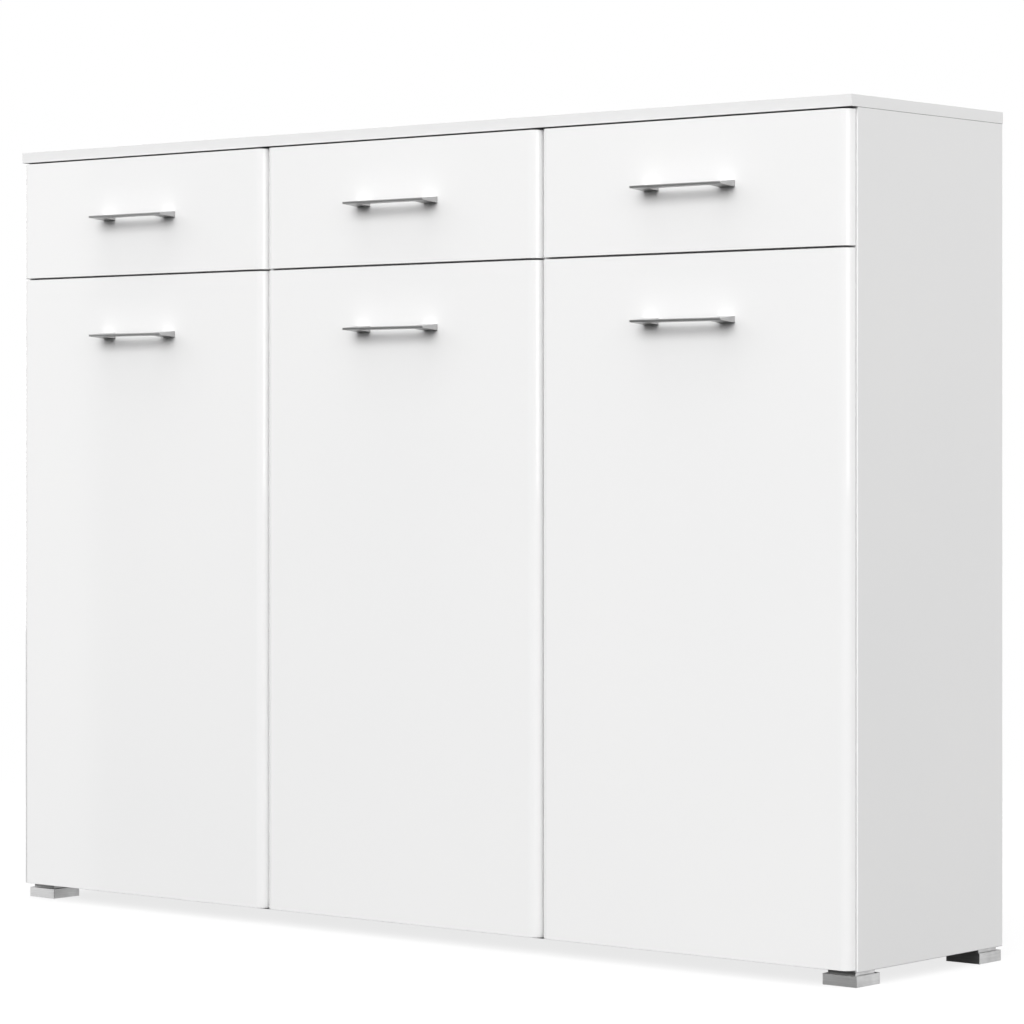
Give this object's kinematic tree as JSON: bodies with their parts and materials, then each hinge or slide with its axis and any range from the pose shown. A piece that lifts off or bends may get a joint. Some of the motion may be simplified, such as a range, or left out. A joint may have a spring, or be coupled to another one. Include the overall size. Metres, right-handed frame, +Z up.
{
  "type": "sideboard",
  "caption": "Tall white sideboard with glossy fronts, drawers above hinged doors, slim metal bow handles, shelves behind the doors and low square metal feet.",
  "frame": {"origin": "middle of the object's bounding box on the floor, handles included", "axes": "+X to the right along the fronts, +Y from the fronts to the back, +Z up"},
  "size_m": [1.57, 0.397, 1.161],
  "materials": {
    "gloss_front": "high-gloss white foil on fibreboard, no visible grain",
    "satin_board": "satin white melamine on chipboard, no visible grain",
    "drawer_board": "matt white foil on chipboard",
    "hardboard": "matt white lacquered hardboard",
    "satin_metal": "satin, fine lengthwise brushing",
    "brushed_steel": "brushed, fine horizontal lines",
    "hinge_nickel": "nickel-plated pressed steel",
    "runner_enamel": "white enamel on rolled steel",
    "white_plastic": "moulded white plastic, fine texture"
  },
  "bodies": {
    "carcass": {"top_panel": "satin_board", "bottom_panel": "satin_board", "left_side_panel": "satin_board", "right_side_panel": "satin_board", "left_partition": "satin_board", "right_partition": "satin_board", "back_panel": "hardboard", "front_left_foot": "brushed_steel", "front_left_foot_plate": "brushed_steel", "front_right_foot": "brushed_steel", "front_right_foot_plate": "brushed_steel", "rear_left_foot": "brushed_steel", "rear_left_foot_plate": "brushed_steel", "rear_right_foot": "brushed_steel", "rear_right_foot_plate": "brushed_steel", "left_divider": "satin_board", "left_lower_shelf": "satin_board", "left_upper_shelf": "satin_board", "left_lower_hinge_arm": "hinge_nickel", "left_upper_hinge_arm": "hinge_nickel", "middle_divider": "satin_board", "middle_lower_shelf": "satin_board", "middle_upper_shelf": "satin_board", "middle_lower_hinge_arm": "hinge_nickel", "middle_upper_hinge_arm": "hinge_nickel", "right_divider": "satin_board", "right_lower_shelf": "satin_board", "right_upper_shelf": "satin_board", "right_lower_hinge_arm": "hinge_nickel", "right_upper_hinge_arm": "hinge_nickel"},
    "left_drawer": {"left_drawer_front": "gloss_front", "left_drawer_left_side": "drawer_board", "left_drawer_right_side": "drawer_board", "left_drawer_back": "drawer_board", "left_drawer_bottom": "hardboard", "left_drawer_handle": "satin_metal"},
    "middle_drawer": {"middle_drawer_front": "gloss_front", "middle_drawer_left_side": "drawer_board", "middle_drawer_right_side": "drawer_board", "middle_drawer_back": "drawer_board", "middle_drawer_bottom": "hardboard", "middle_drawer_handle": "satin_metal"},
    "right_drawer": {"right_drawer_front": "gloss_front", "right_drawer_left_side": "drawer_board", "right_drawer_right_side": "drawer_board", "right_drawer_back": "drawer_board", "right_drawer_bottom": "hardboard", "right_drawer_handle": "satin_metal"},
    "left_door": {"left_door_panel": "gloss_front", "left_door_handle": "satin_metal"},
    "left_hinge_links": {"left_lower_hinge_link": "hinge_nickel", "left_upper_hinge_link": "hinge_nickel"},
    "middle_door": {"middle_door_panel": "gloss_front", "middle_door_handle": "satin_metal"},
    "middle_hinge_links": {"middle_lower_hinge_link": "hinge_nickel", "middle_upper_hinge_link": "hinge_nickel"},
    "right_door": {"right_door_panel": "gloss_front", "right_door_handle": "satin_metal"},
    "right_hinge_links": {"right_lower_hinge_link": "hinge_nickel", "right_upper_hinge_link": "hinge_nickel"}
  },
  "joints": [
    {"name": "left_drawer_slide", "type": "slide", "parent": "carcass", "child": "left_drawer", "axis": [0, -1, 0], "range_m": [0, 0.225]},
    {"name": "middle_drawer_slide", "type": "slide", "parent": "carcass", "child": "middle_drawer", "axis": [0, -1, 0], "range_m": [0, 0.225]},
    {"name": "right_drawer_slide", "type": "slide", "parent": "carcass", "child": "right_drawer", "axis": [0, -1, 0], "range_m": [0, 0.225]},
    {"name": "left_door_swing", "type": "hinge", "parent": "carcass", "child": "left_door", "pos_m": [-0.77825, -0.1605, 0.4925], "axis": [0, 0, -1], "range_deg": [0, 95]},
    {"name": "left_hinge_link_swing", "type": "hinge", "parent": "carcass", "child": "left_hinge_links", "pos_m": [-0.76475, -0.151, 0.4925], "axis": [0, 0, -1], "range_deg": [0, 95]},
    {"name": "middle_door_swing", "type": "hinge", "parent": "carcass", "child": "middle_door", "pos_m": [-0.25525, -0.1605, 0.4925], "axis": [0, 0, -1], "range_deg": [0, 95]},
    {"name": "middle_hinge_link_swing", "type": "hinge", "parent": "carcass", "child": "middle_hinge_links", "pos_m": [-0.24175, -0.151, 0.4925], "axis": [0, 0, -1], "range_deg": [0, 95]},
    {"name": "right_door_swing", "type": "hinge", "parent": "carcass", "child": "right_door", "pos_m": [0.77825, -0.1605, 0.4925], "axis": [0, 0, 1], "range_deg": [0, 95]},
    {"name": "right_hinge_link_swing", "type": "hinge", "parent": "carcass", "child": "right_hinge_links", "pos_m": [0.76475, -0.151, 0.4925], "axis": [0, 0, 1], "range_deg": [0, 95]}
  ],
  "couplings": [
    {"joint": "left_hinge_link_swing", "follows": "left_door_swing", "ratio": 1},
    {"joint": "middle_hinge_link_swing", "follows": "middle_door_swing", "ratio": 1},
    {"joint": "right_hinge_link_swing", "follows": "right_door_swing", "ratio": 1}
  ]
}
